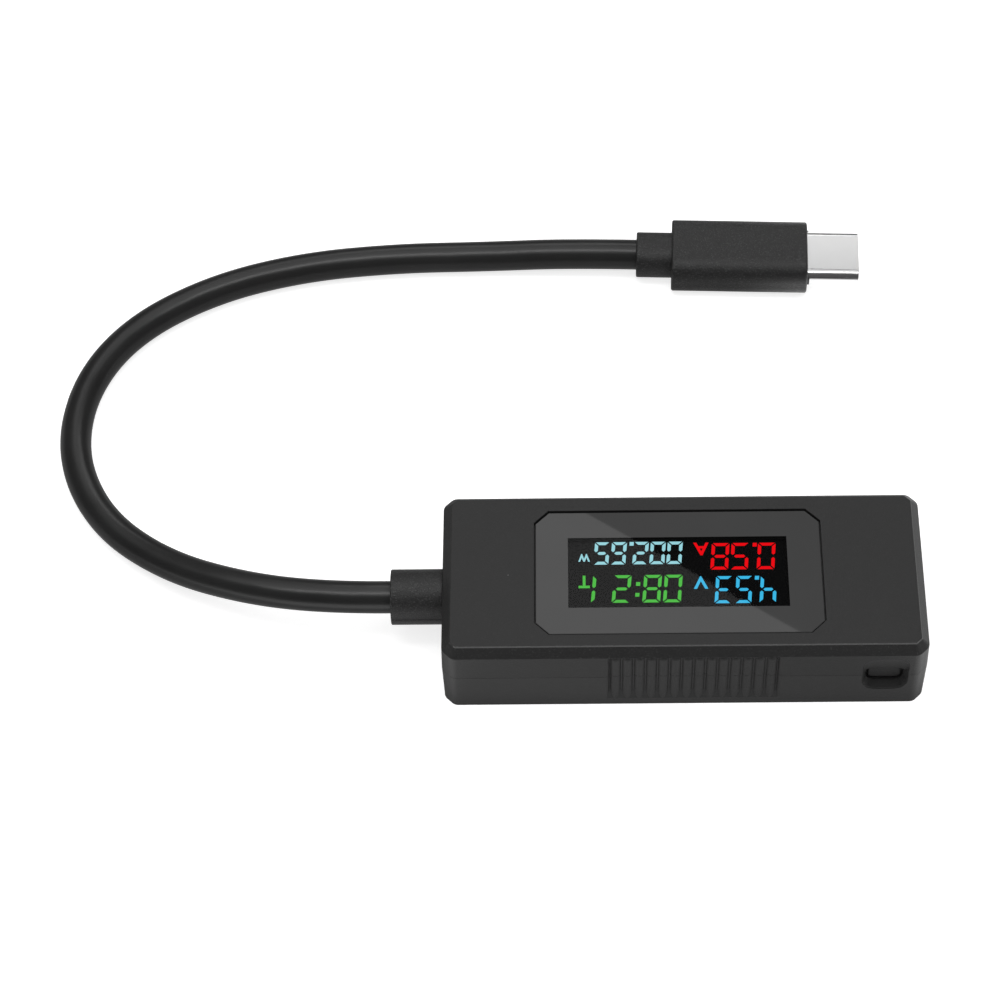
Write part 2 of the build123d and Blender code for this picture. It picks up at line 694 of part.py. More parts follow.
def socket_insulator():
    start = SOCKET_FRONT_X - SOCKET_LENGTH
    base_length = SOCKET_LENGTH - SOCKET_DEPTH
    section = (SOCKET_MOUTH[0] - 0.04, SOCKET_MOUTH[1] - 0.04)
    base = Pos(start, 0, SOCKET_Z) * stadium_bar(base_length, *section)
    width, thickness, length = SOCKET_TONGUE
    tongue = Pos(start + base_length, 0, SOCKET_Z) * Box(2 * length, width, thickness)
    return base + tongue


CONTACT_PITCH = 0.5
CONTACTS_PER_SIDE = 12


def contact_offsets():
    """Places across the connector of one side's contacts."""
    first = -(CONTACTS_PER_SIDE - 1) / 2 * CONTACT_PITCH
    return [first + index * CONTACT_PITCH for index in range(CONTACTS_PER_SIDE)]


def socket_contacts():
    start = SOCKET_FRONT_X - SOCKET_DEPTH
    half = SOCKET_TONGUE[1] / 2
    strips = []
    for side in (-1, 1):
        face = SOCKET_Z + side * half
        for y in contact_offsets():
            strips.append(block(start + 0.1, start + 4.4, y - 0.12, y + 0.12, face, face + side * 0.04))
    return group(strips)


# ---- cord ----

def strain_relief():
    end_x = -CASE_LENGTH / 2
    radius = GLAND_DIAMETER / 2
    grip = rod_x(radius, end_x - GLAND_LENGTH, end_x - 0.02, 0, GLAND_Z)
    grip = fillet(grip.faces().sort_by(Axis.X)[0].edges(), 0.15)
    flash_width, flash_height = GLAND_FLASH
    reach = radius + flash_height
    flash = block(
        end_x - GLAND_LENGTH + 0.15, end_x - 0.02, -reach, reach,
        GLAND_Z - flash_width / 2, GLAND_Z + flash_width / 2,
    )
    neck = rod_x(GLAND_NECK_DIAMETER / 2, end_x - 0.5, -INNER_X + 0.5, 0, GLAND_Z)
    flange = block(-INNER_X + 0.1, -INNER_X + 1.5, -3.9, 3.9, GLAND_Z - 3.6, GLAND_Z + 3.6)
    flange = fillet(flange.edges().filter_by(Axis.X), 1.2)
    return grip + flash + neck + flange


CORE_NAMES = ["wire_power", "wire_data_minus", "wire_data_plus", "wire_ground"]
CORE_START_X = -INNER_X + 1.5
CORE_PAD_X = -22.6


def core_route(index):
    """One core's way from the gland to its pad on the board."""
    side = index - 1.5
    return [
        (CORE_START_X, side * 1.1, GLAND_Z),
        (CORE_START_X + 1.6, side * 1.2, GLAND_Z + 0.1),
        (CORE_START_X + 3.0, side * 2.0, BOARD_TOP + 0.9),
        (CORE_PAD_X, side * 2.4, BOARD_TOP + 0.55),
    ]


def solder_joints():
    joints = []
    for index in range(len(CORE_NAMES)):
        x, y, _ = core_route(index)[-1]
        dome = Pos(x + 0.75, y, BOARD_TOP) * Sphere(0.75)
        joints.append(dome & block(x, x + 2, y - 1, y + 1, BOARD_TOP, BOARD_TOP + 1))
    return group(joints)


# ---- plug ----

def place_plug(piece):
    return Pos(*PLUG_PLACE) * Rot(0, 0, PLUG_TURN) * piece


def plug_overmould():
    length, width, thickness = GRIP_SIZE
    grip = rounded_bar(length, width, thickness, GRIP_RADIUS)
    ends = grip.faces().filter_by(Axis.X).edges()
    grip = fillet(ends, 0.3)
    collar_length, collar_width, collar_thickness = COLLAR_SIZE
    collar = rounded_bar(collar_length + 0.5, collar_width, collar_thickness, COLLAR_RADIUS)
    collar = fillet(collar.faces().sort_by(Axis.X)[0].edges(), 0.25)
    body = grip + Pos(-collar_length, 0, 0) * collar
    room = stadium_bar(INNER_MOULD_LENGTH + 1, *INNER_MOULD_SIZE)
    return body - Pos(length - INNER_MOULD_LENGTH, 0, 0) * room


INNER_MOULD_LENGTH = 9.0
INNER_MOULD_SIZE = (9.0, 3.1)
NUB_SIZE = (0.3, 0.35, 1.0)
PLUG_BOARD = (3.3, 6.4, 0.6)


def plug_board_middle():
    """The small board lies between the moulding's back and the shell."""
    back = GRIP_SIZE[0] - INNER_MOULD_LENGTH
    shell_back = GRIP_SIZE[0] - PLUG_SHELL_IN
    return (back + shell_back) / 2


def plug_inner_mould():
    """The first moulding round the shell's back, with a nub each side."""
    end = GRIP_SIZE[0]
    mould = stadium_bar(INNER_MOULD_LENGTH - 0.02, *INNER_MOULD_SIZE)
    body = Pos(end - INNER_MOULD_LENGTH, 0, 0) * mould
    for side in (-1, 1):
        nub_y = side * (PLUG_SHELL[0] / 2 + 0.05)
        body += Pos(end, nub_y, 0) * Box(2 * NUB_SIZE[0], NUB_SIZE[1], NUB_SIZE[2])
    body -= Pos(end - PLUG_SHELL_IN, 0, 0) * stadium_bar(PLUG_SHELL_IN + 1, *PLUG_SHELL)
    board_room = Box(PLUG_BOARD[0] + 0.6, PLUG_BOARD[1] + 0.2, PLUG_BOARD[2] + 0.2)
    return body - Pos(plug_board_middle(), 0, 0) * board_room


def plug_shell():
    length = PLUG_SHELL_IN + PLUG_SHELL_OUT
    shell = stadium_bar(length, *PLUG_SHELL)
    shell = fillet(shell.faces().sort_by(Axis.X)[-1].edges(), 0.08)
    inside = tuple(side - 2 * PLUG_SHELL_WALL for side in PLUG_SHELL)
    shell -= Pos(-1, 0, 0) * stadium_bar(length + 2, *inside)
    return Pos(GRIP_SIZE[0] - PLUG_SHELL_IN, 0, 0) * shell


def plug_insulator():
    length = PLUG_SHELL_IN + PLUG_SHELL_OUT - 0.15
    start = GRIP_SIZE[0] - PLUG_SHELL_IN
    inside = tuple(side - 2 * PLUG_SHELL_WALL - 0.04 for side in PLUG_SHELL)
    core = Pos(start, 0, 0) * stadium_bar(length, *inside)
    slot_depth = 5.6
    slot = Pos(start + length - slot_depth / 2 + 0.5, 0, 0) * Box(slot_depth + 1, *PLUG_SLOT)
    core -= slot
    for side in (-1, 1):
        groove_y = side * (PLUG_SLOT[0] / 2)
        core -= Pos(start + length - 2.6, groove_y, 0) * Box(5.4, 0.5, 0.5)
    return core


def plug_contacts():
    tip = GRIP_SIZE[0] + PLUG_SHELL_OUT
    strips = []
    for side in (-1, 1):
        face = side * PLUG_SLOT[1] / 2
        for y in contact_offsets():
            strips.append(block(tip - 5.0, tip - 1.0, y - 0.11, y + 0.11, face, face - side * 0.08))
    return group(strips)


def plug_latches():
    """The two side springs that hold the plug in a socket."""
    tip = GRIP_SIZE[0] + PLUG_SHELL_OUT
    latches = []
    for side in (-1, 1):
        y = side * (PLUG_SLOT[0] / 2 + 0.1)
        latches.append(block(tip - 5.0, tip - 1.2, y - 0.08, y + 0.08, -0.2, 0.2))
    return group(latches)


def plug_board():
    return Pos(plug_board_middle(), 0, 0) * Box(*PLUG_BOARD)


# ---- build and write ----

def save(name, shape):
    export_step(shape, "parts/" + name + ".step")


os.makedirs("parts", exist_ok=True)

case = case_body() - grip_cutter() - button_pocket() - socket_opening() - gland_opening()
save("top_shell", top_shell(case))
save("bottom_shell", bottom_shell(case))

for maker in (
    display_window, window_adhesive, lcd_panel, lcd_backlight, backlight_leds, lcd_frame,
    lcd_flex, flex_connector, main_board, controller_chip, controller_leads, shunt_resistor,
    regulator_chip, crystal, capacitors, resistors, button_cap, switch_housing, switch_plunger,
    switch_dome, socket_shell, socket_insulator, socket_contacts, strain_relief, solder_joints,
):
    save(maker.__name__, maker())

for maker in (
    plug_overmould, plug_inner_mould, plug_shell, plug_insulator, plug_contacts, plug_latches,
    plug_board,
):
    save(maker.__name__, place_plug(maker()))

for index, name in enumerate(CORE_NAMES):
    save(name, tube(core_route(index), CORE_DIAMETER)[0])

cord, cord_length, cord_radii = tube(CORD_ROUTE, CORD_DIAMETER)
save("cable", cord)
cord_section = math.pi * CORD_DIAMETER ** 2 / 4
print("cord length", round(cord_length, 1), "radii", [round(radius, 1) for radius in cord_radii])
print("cord volume", round(cord.volume, 1), "section x length", round(cord_section * cord_length, 1))
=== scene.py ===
import json
import math

import bpy
from mathutils import Matrix, Vector


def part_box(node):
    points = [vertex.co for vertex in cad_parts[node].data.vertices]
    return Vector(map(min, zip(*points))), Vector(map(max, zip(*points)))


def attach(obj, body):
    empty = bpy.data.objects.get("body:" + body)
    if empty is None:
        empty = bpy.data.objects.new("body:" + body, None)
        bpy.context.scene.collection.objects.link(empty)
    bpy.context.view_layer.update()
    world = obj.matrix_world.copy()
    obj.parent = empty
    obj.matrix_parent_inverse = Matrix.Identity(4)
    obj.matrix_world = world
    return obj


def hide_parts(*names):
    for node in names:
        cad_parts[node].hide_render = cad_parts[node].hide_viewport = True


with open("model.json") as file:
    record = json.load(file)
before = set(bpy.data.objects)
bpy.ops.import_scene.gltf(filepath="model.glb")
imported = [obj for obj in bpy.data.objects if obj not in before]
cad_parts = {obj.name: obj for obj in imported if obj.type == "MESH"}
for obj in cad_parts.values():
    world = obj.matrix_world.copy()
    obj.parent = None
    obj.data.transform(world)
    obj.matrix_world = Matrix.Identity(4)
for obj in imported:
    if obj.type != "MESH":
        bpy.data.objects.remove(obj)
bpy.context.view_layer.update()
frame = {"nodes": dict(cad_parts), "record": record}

MM = 0.001
scene = bpy.context.scene


# ======== camera ========

CAMERA_AIM = Vector((-0.023745, 0.020137, 0.0))
CAMERA_DISTANCE = 0.41203
CAMERA_PITCH = math.radians(54.855)     # below the horizon
CAMERA_YAW = math.radians(-2.396)
CAMERA_ROLL = math.radians(-2.523)
CAMERA_LENS = 114.26
SENSOR_WIDTH = 36.0


def make_camera():
    """The camera looks down on the button side, a little from the right."""
    level = math.cos(CAMERA_PITCH)
    forward = Vector((
        math.sin(CAMERA_YAW) * level, math.cos(CAMERA_YAW) * level, -math.sin(CAMERA_PITCH),
    ))
    flat_right = forward.cross(Vector((0, 0, 1))).normalized()
    flat_up = flat_right.cross(forward)
    right = flat_right * math.cos(CAMERA_ROLL) + flat_up * math.sin(CAMERA_ROLL)
    up = flat_up * math.cos(CAMERA_ROLL) - flat_right * math.sin(CAMERA_ROLL)
    data = bpy.data.cameras.new("camera")
    data.sensor_width = SENSOR_WIDTH
    data.lens = CAMERA_LENS
    data.clip_start = 0.01
    data.clip_end = 20.0
    camera = bpy.data.objects.new("camera", data)
    turn = Matrix((right, up, -forward)).transposed().to_4x4()
    camera.matrix_world = Matrix.Translation(CAMERA_AIM - forward * CAMERA_DISTANCE) @ turn
    scene.collection.objects.link(camera)
    scene.camera = camera


make_camera()


# ======== cord ========

CORD_DIAMETER = 4.1 * MM
CORD_ROUTE = [      # millimetres, from the gland round to the plug
    (-36.5, 0.0, 6.5),
    (-44.0, 0.0, 6.5),
    (-55.0, 2.2, 5.4),
    (-66.0, 7.4, 3.1),
    (-75.0, 15.1, 2.1),
    (-79.7, 25.6, 2.1),
    (-78.8, 37.0, 2.1),
    (-73.1, 46.5, 2.1),
    (-62.7, 53.45, 2.1),
    (-50.5, 57.25, 2.1),
    (-37.5, 58.65, 2.1),
    (-25.0, 58.8, 2.1),
    (-14.06, 58.53, 2.9),
    (-4.517, 58.177, 2.9),
]


def make_cord():
    """The captive cord: one smooth round line from the gland to the plug."""
    data = bpy.data.curves.new("cord", "CURVE")
    data.dimensions = "3D"
    data.resolution_u = 14
    data.bevel_depth = 1.0      # times each point's radius, which also sets the curve's box
    data.bevel_resolution = 10
    data.use_fill_caps = True
    line = data.splines.new("NURBS")
    line.points.add(len(CORD_ROUTE) - 1)
    for point, place in zip(line.points, CORD_ROUTE):
        point.co = (*(value * MM for value in place), 1.0)
        point.radius = CORD_DIAMETER / 2
    line.order_u = 3
    line.use_endpoint_u = True
    cord = bpy.data.objects.new("cord", data)
    scene.collection.objects.link(cord)
    return cord


cord = make_cord()
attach(cord, "root")
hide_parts("cable")


# ======== shader maths ========

class Signal:
    """A value over a surface. Arithmetic on it adds Math nodes."""

    def __init__(self, finish, socket):
        self.finish = finish
        self.socket = socket

    def maths(self, operation, *values):
        inputs = dict(zip(("Value", "Value_001", "Value_002"), values))
        return self.finish.node("Math", {"operation": operation}, inputs)

    def __add__(self, other):
        return self.maths("ADD", self, other)

    def __sub__(self, other):
        return self.maths("SUBTRACT", self, other)

    def __rsub__(self, other):
        return self.maths("SUBTRACT", other, self)

    def __mul__(self, other):
        return self.maths("MULTIPLY", self, other)

    def __truediv__(self, other):
        return self.maths("DIVIDE", self, other)

    def __abs__(self):
        return self.maths("ABSOLUTE", self)

    def __lt__(self, other):
        return self.maths("LESS_THAN", self, other)

    def __gt__(self, other):
        return self.maths("GREATER_THAN", self, other)

    __radd__ = __add__


def pick(sockets, key):
    """A node's socket, by its identifier or else by its name."""
    for socket in sockets:
        if socket.identifier == key:
            return socket
    return sockets[key]


class Finish:
    """A material while it is made: its nodes, and the patterns built from them."""

    def __init__(self, name):
        self.material = bpy.data.materials.new(name)
        self.material.use_nodes = True
        self.tree = self.material.node_tree
        self.tree.nodes.clear()
        self.place = self.node("TexCoord", out="Object")

    def node(self, kind, settings=None, inputs=None, out=0):
        """Adds a node, sets it up, feeds its sockets and returns one output."""
        made = self.tree.nodes.new("ShaderNode" + kind)
        for name, value in (settings or {}).items():
            setattr(made, name, value)
        for key, value in (inputs or {}).items():
            socket = pick(made.inputs, key)
            if isinstance(value, Signal):
                self.tree.links.new(value.socket, socket)
            else:
                socket.default_value = value
        if out is None:
            return None
        if isinstance(out, int):
            return Signal(self, made.outputs[out])
        return Signal(self, pick(made.outputs, out))

    def stretched(self, turn, scale):
        """The place on the surface, turned about Z and scaled along each axis."""
        settings = {"vector_type": "POINT"}
        inputs = {"Vector": self.place, "Rotation": (0, 0, turn), "Scale": scale}
        return self.node("Mapping", settings, inputs)

    def noise(self, size, detail=2.0, place=None):
        """Cloudy noise about 0.5, with features of about that size in metres."""
        inputs = {"Vector": place or self.place, "Scale": 1 / size, "Detail": detail}
        return self.node("TexNoise", None, inputs)

    def axes(self):
        """X, Y and Z of the place, as three values."""
        inputs = {"Vector": self.place}
        return [self.node("SeparateXYZ", None, inputs, axis) for axis in "XYZ"]

    def mix(self, share, first, second):
        """Blends two colours."""
        inputs = {"Factor_Float": share, "A_Color": first, "B_Color": second}
        return self.node("Mix", {"data_type": "RGBA"}, inputs, "Result_Color")

    def specks(self, spacing, size, share):
        """1 in small scattered round specks, 0 elsewhere."""
        inputs = {"Vector": self.place, "Scale": 1 / spacing}
        near = self.node("TexVoronoi", None, inputs, "Distance") < size / spacing
        tint = self.node("TexVoronoi", None, inputs, "Color")
        chosen = self.node("SeparateColor", None, {"Color": tint}, "Red") < share
        return near * chosen

    def peaks(self, value, start, end):
        """0 below the start and 1 above the end, rising smoothly between them."""
        inputs = {"Value": value, "From Min": start, "From Max": end}
        return self.node("MapRange", {"interpolation_type": "SMOOTHSTEP"}, inputs)

    def bump(self, height, depth, under=None):
        """A normal from a height between 0 and 1, in metres of depth."""
        inputs = {"Height": height, "Distance": depth, "Strength": 1.0}
        if under is not None:
            inputs["Normal"] = under
        return self.node("Bump", None, inputs)

    def surface(self, **values):
        """Ends the material with a Principled shader. Underlines stand for spaces."""
        inputs = {name.replace("_", " "): value for name, value in values.items()}
        shader = self.node("BsdfPrincipled", None, inputs)
        return self.end(shader)

    def end(self, shader):
        """Ends the material with this shader."""
        self.node("OutputMaterial", {"target": "ALL"}, {"Surface": shader}, None)
        return self.material


def grey(level):
    """A neutral colour."""
    return (level, level, level, 1.0)


# ======== finishes ========

CASE_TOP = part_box("top_shell")[1].z
CHAMFER_DROP = 1.28 * MM                # of the chamfer's foot below the top face
EDGE_HIGHLIGHT_BAND = (0.015 * MM, 0.15 * MM)     # band of the painted edge highlight, below the top face, round its edge
NEAR_EDGE_Y = -10.2 * MM                # the button side lies in front of this
CORD_EDGE_X = -28.4 * MM                # the cord's end lies beyond this


def case_plastic(name, level):
    """Black ABS from a finely eroded mould, with a little dust and painted glints on its grain.
    The top edge carries a painted highlight, most on the button side and least at the cord's
    end."""
    finish = Finish(name)
    x, y, z = finish.axes()
    depth = CASE_TOP - z
    # painted highlight: a thin band round the top edge, made paler to stand for light caught on
    # the edge
    painted_highlight_band = (depth < EDGE_HIGHLIGHT_BAND[1]) * (EDGE_HIGHLIGHT_BAND[0] < depth)
    near_side = y < NEAR_EDGE_Y
    cord_end = x < CORD_EDGE_X
    # the chamfer, where the painted glints are laid on strongest
    sloped = (depth < CHAMFER_DROP) * (EDGE_HIGHLIGHT_BAND[1] < depth)
    cloud = finish.noise(9 * MM)
    grain = finish.noise(0.17 * MM, 1.5)
    # strength of the painted edge highlight: most on the button side, least at the cord's end,
    # uneven with the grain
    painted_highlight_strength = (0.06 + near_side * 0.44 + grain * 0.5) * (1.0 - cord_end * 0.8)
    # painted glints: pale points on the grain's peaks that stand for light catching the grain
    painted_glint = finish.peaks(grain, 0.60, 0.74)
    dust = finish.specks(4.5 * MM, 0.06 * MM, 0.3)
    shade = finish.mix(cloud, grey(level * 0.86), grey(level * 1.10))
    shade = finish.mix(grain * 0.6, shade, grey(level * 1.6))
    # lays the painted glints into the colour, strongest on the chamfer
    shade = finish.mix(painted_glint * (0.12 + sloped * 0.5), shade, grey(0.050))
    # lays the painted edge highlight into the colour
    shade = finish.mix(painted_highlight_band * painted_highlight_strength, shade, grey(0.11))
    return finish.surface(
        Base_Color=finish.mix(dust * 0.6, shade, grey(0.35)),
        Roughness=0.42 + cloud * 0.05 + grain * 0.10,
        Normal=finish.bump(grain, 0.030 * MM),
        Specular_IOR_Level=0.42,
    )


WINDOW_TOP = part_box("display_window")[1].z
VIEW_CENTRE = (-0.60 * MM, -0.20 * MM)      # of the clear part, seen from above
VIEW_HALF = (13.65 * MM, 5.2 * MM)          # half its length and width
VIEW_SPREAD = 0.8       # by which the clear part grows for each unit under the surface


def window_print():
    """Clear acrylic, printed dark grey round the view, which stays see-through."""
    finish = Finish("window_print")
    x, y, z = finish.axes()
    below = (WINDOW_TOP - z) * VIEW_SPREAD
    across = abs(x - VIEW_CENTRE[0]) < below + VIEW_HALF[0]
    along = abs(y - VIEW_CENTRE[1]) < below + VIEW_HALF[1]
    view = across * along
    cloud = finish.noise(7 * MM)
    printed = finish.mix(cloud, grey(0.047), grey(0.053))
    return finish.surface(
        Base_Color=finish.mix(view, printed, grey(0.002)),
        Roughness=0.012 + cloud * 0.006,
        Alpha=1.0 - view * 0.60,
        IOR=1.49,
    )


def satin_plastic(name, colour, roughness, grain_size, depth):
    """A plain moulded plastic with a soft uneven sheen."""
    finish = Finish(name)
    cloud = finish.noise(2.5 * MM)
    grain = finish.noise(grain_size, 1.0)
    darker = tuple(0.85 * part for part in colour[:3]) + (1.0,)
    return finish.surface(
        Base_Color=finish.mix(cloud, darker, colour),
        Roughness=roughness - 0.04 + cloud * 0.08,
        Normal=finish.bump(grain, depth),
    )


def moulded_grain():
    """Black elastomer from a grained mould, as on the gland and the plug, with painted glints on
    the grain.
    """
    finish = Finish("moulded_grain")
    grain = finish.noise(0.14 * MM, 1.5)
    cloud = finish.noise(3 * MM)
    # painted glints: pale points on the grain's peaks that stand for light catching the grain
    painted_glint = finish.peaks(grain, 0.58, 0.72)
    shade = finish.mix(grain, grey(0.002), grey(0.024))
    shade = finish.mix(cloud * 0.4, shade, grey(0.016))
    return finish.surface(
        # lays the painted glints into the colour
        Base_Color=finish.mix(painted_glint * 0.6, shade, grey(0.075)),
        Roughness=0.30 + cloud * 0.08 + grain * 0.10,
        Normal=finish.bump(grain, 0.075 * MM),
    )


def cord_jacket():
    """Smooth black PVC with long soft unevenness and a few pale specks."""
    finish = Finish("cord_jacket")
    swell = finish.noise(7 * MM, 1.0)
    grain = finish.noise(0.3 * MM, 2.0)
    dust = finish.specks(3.5 * MM, 0.055 * MM, 0.25)
    shade = finish.mix(swell, grey(0.009), grey(0.017))
    rounded = finish.bump(swell, 0.16 * MM)
    return finish.surface(
        Base_Color=finish.mix(dust * 0.6, shade, grey(0.3)),
        Roughness=0.26 + grain * 0.09,
        Normal=finish.bump(grain, 0.006 * MM, rounded),
    )


PLUG_TURN = math.radians(-2.1)              # of the plug about Z
DRAWN_LINES = (400.0, 9000.0, 9000.0)       # of noise for each metre, along and across


def drawn_metal(name, turn, colour, roughness):
    """Metal with fine lines along its length and soft wear."""
    finish = Finish(name)
    lines = finish.noise(1.0, 2.0, finish.stretched(turn, DRAWN_LINES))
    cloud = finish.noise(2 * MM)
    paler = tuple(min(1.0, 1.08 * part) for part in colour[:3]) + (1.0,)
    return finish.surface(
        Base_Color=finish.mix(lines, colour, paler),
        Metallic=1.0,
        Roughness=roughness + lines * 0.05 + cloud * 0.04,
        Normal=finish.bump(lines, 0.0005 * MM),
    )


def display_panel():
    """The unlit liquid crystal glass: near black with a faint violet cast."""
    finish = Finish("display_panel")
    cloud = finish.noise(6 * MM)
    return finish.surface(
        Base_Color=finish.mix(cloud, (0.0014, 0.0014, 0.0020, 1), (0.0024, 0.0022, 0.0030, 1)),
        Roughness=0.30 + cloud * 0.06,
        Specular_IOR_Level=0.08,
    )


def light_guide():
    """Frosted clear acrylic with its printed dots."""
    finish = Finish("light_guide")
    dots = finish.node("TexVoronoi", None, {"Vector": finish.place, "Scale": 1 / (0.6 * MM)})
    shade = finish.mix(dots, (0.90, 0.93, 0.97, 1), (0.70, 0.74, 0.80, 1))
    return finish.surface(Base_Color=shade, Roughness=0.30 + dots * 0.2)


def flex_film():
    """Amber polyimide film with copper tracks along it."""
    finish = Finish("flex_film")
    _, y, _ = finish.axes()
    pitch = 0.8 * MM
    across = (y / pitch).maths("FRACT", y / pitch)
    track = abs(across - 0.5) < 0.25
    cloud = finish.noise(1.5 * MM)
    film = finish.mix(cloud, (0.42, 0.16, 0.02, 1), (0.55, 0.24, 0.04, 1))
    return finish.surface(
        Base_Color=finish.mix(track, film, (0.62, 0.30, 0.10, 1)),
        Roughness=0.28 + cloud * 0.1,
        Normal=finish.bump(track, 0.01 * MM),
    )


def board_mask():
    """Green solder mask over copper tracks, with a few plated holes."""
    finish = Finish("board_mask")
    steps = {"Vector": finish.place, "Scale": 1 / (2.4 * MM)}
    cells = finish.node("TexVoronoi", {"feature": "DISTANCE_TO_EDGE"}, steps, "Distance")
    track = cells < 0.08
    hole = finish.specks(3.2 * MM, 0.25 * MM, 0.5)
    green = finish.mix(track, (0.010, 0.075, 0.030, 1), (0.020, 0.135, 0.055, 1))
    return finish.surface(
        Base_Color=finish.mix(hole, green, (0.62, 0.58, 0.45, 1)),
        Roughness=0.26 + cells * 0.3,
        Normal=finish.bump(track, 0.02 * MM),
    )


def fired_ceramic(name, colour):
    """Matt fired ceramic with a fine speckle."""
    finish = Finish(name)
    speckle = finish.noise(0.08 * MM, 2.0)
    pale = tuple(min(1.0, 1.5 * part + 0.01) for part in colour[:3]) + (1.0,)
    return finish.surface(
        Base_Color=finish.mix(speckle, colour, pale),
        Roughness=0.5 + speckle * 0.2,
        Normal=finish.bump(speckle, 0.004 * MM),
    )


def lit_segment(name, colour, strength):
    """One colour of lit segment, a shade uneven as a colour filter is."""
    finish = Finish(name)
    cloud = finish.noise(1.2 * MM)
    dimmer = tuple(0.93 * part for part in colour[:3]) + (1.0,)
    return finish.surface(
        Base_Color=grey(0.0),
        Roughness=0.5,
        Emission_Color=finish.mix(cloud, dimmer, colour),
        Emission_Strength=strength,
        Specular_IOR_Level=0.0,
    )


FINISHES = {
    "case_black": case_plastic("case_plastic", 0.0135),
    "button_black": case_plastic("button_plastic", 0.011),
    "window_dark": window_print(),
    "tape_black": satin_plastic("tape_black", grey(0.008), 0.75, 0.2 * MM, 0.01 * MM),
    "display_glass": display_panel(),
    "light_guide": light_guide(),
    "led_white": satin_plastic("led_white", (0.90, 0.82, 0.42, 1), 0.35, 0.2 * MM, 0.004 * MM),
    "tray_steel": drawn_metal("tray_steel", 0.0, grey(0.50), 0.30),
    "flex_amber": flex_film(),
    "connector_ivory": satin_plastic(
        "connector_ivory", (0.72, 0.66, 0.52, 1), 0.45, 0.2 * MM, 0.004 * MM),
    "board_green": board_mask(),
    "drawn_steel": drawn_metal("drawn_steel", -PLUG_TURN, grey(0.72), 0.17),
    "insulator_black": satin_plastic("insulator_black", grey(0.014), 0.36, 0.2 * MM, 0.005 * MM),
    "contact_gold": drawn_metal("contact_gold", 0.0, (0.80, 0.54, 0.20, 1), 0.18),
    "switch_black": satin_plastic("switch_black", grey(0.02), 0.45, 0.2 * MM, 0.006 * MM),
    "shunt_ceramic": fired_ceramic("shunt_ceramic", grey(0.02)),
    "chip_black": satin_plastic("chip_black", grey(0.016), 0.55, 0.1 * MM, 0.006 * MM),
    "tinned_metal": drawn_metal("tinned_metal", 0.0, grey(0.70), 0.28),
    "capacitor_tan": fired_ceramic("capacitor_tan", (0.40, 0.26, 0.14, 1)),
    "resistor_black": fired_ceramic("resistor_black", grey(0.02)),
    "wire_red": satin_plastic("wire_red", (0.50, 0.015, 0.012, 1), 0.38, 0.3 * MM, 0.005 * MM),
    "wire_black": satin_plastic("wire_black", grey(0.014), 0.38, 0.3 * MM, 0.005 * MM),
    "wire_green": satin_plastic("wire_green", (0.02, 0.26, 0.06, 1), 0.38, 0.3 * MM, 0.005 * MM),
    "wire_white": satin_plastic("wire_white", grey(0.75), 0.38, 0.3 * MM, 0.005 * MM),
    "moulded_black": moulded_grain(),
    "cord_black": cord_jacket(),
}


def finish_nodes():
    """Gives every CAD node the finish of its slot in the record."""
    for row in frame["record"]["subparts"]:
        node = frame["nodes"][row["node"]]
        node.data.materials.clear()
        node.data.materials.append(FINISHES[row["material_slot"]])


finish_nodes()
cord.data.materials.append(FINISHES["cord_black"])


# ======== display readouts ========
# Laid out in millimetres as they are read, u to the right and v up, then turned
# half way round, because the display reads from the far side of the case.

READOUT_ORIGIN = Vector((-0.60, 0.09, 0)) * MM
SEGMENT_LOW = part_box("lcd_panel")[1].z + 0.004 * MM
SEGMENT_HEIGHT = 0.012 * MM
LEAN = 0.085                # of the digits, sideways for each unit of height
STROKE = 0.43               # width of a segment
SEGMENT_GAP = 0.24          # between the ends of two segments
DOT_SIZE = (0.52, 0.55)
DOT_SHIFT = 0.28            # of a point or colon towards the digit before it
COLON_HEIGHTS = (1.05, 2.65)
WELD = 0.0005
DIGIT_SEGMENTS = {
    "0": "abcdef", "1": "bc", "2": "abdeg", "3": "abcdg", "4": "bcfg", "5": "acdfg",
    "6": "acdefg", "8": "abcdefg",
}
GLOW = 2.35                 # strength of every lit segment, as seen through the window
SEGMENT_COLOURS = {
    "blue": lit_segment("lit_blue", (0.051, 0.578, 0.956, 1), GLOW),
    "green": lit_segment("lit_green", (0.080, 0.578, 0.061, 1), GLOW),
    "red": lit_segment("lit_red", (1.0, 0.0015, 0.006, 1), GLOW),
    "cyan": lit_segment("lit_cyan", (0.376, 0.791, 0.871, 1), GLOW),
}


def open_piece(piece):
    """Opens one piece alone for editing, with all of it selected."""
    bpy.ops.object.select_all(action="DESELECT")
    piece.select_set(True)
    bpy.context.view_layer.objects.active = piece
    bpy.ops.object.mode_set(mode="EDIT")
    bpy.ops.mesh.select_all(action="SELECT")


def close_piece():
    """Ends the editing of a piece."""
    bpy.ops.object.mode_set(mode="OBJECT")


def flat_bar(name, low, high, cuts):
    """A flat bar between two corners, trimmed by each cut's point and outward normal."""
    bpy.ops.object.select_all(action="DESELECT")
    middle = [(a + b) / 2 for a, b in zip(low, high)]
    bpy.ops.mesh.primitive_plane_add(size=1, location=(*middle, 0))
    bar = bpy.context.object
    bar.name = name
    bar.scale = (high[0] - low[0], high[1] - low[1], 1)
    bpy.ops.object.transform_apply(location=True, rotation=True, scale=True)
    open_piece(bar)
    for point, outward in cuts:
        bpy.ops.mesh.select_all(action="SELECT")
        bpy.ops.mesh.bisect(plane_co=(*point, 0), plane_no=(*outward, 0), clear_outer=True)
    close_piece()
    return bar


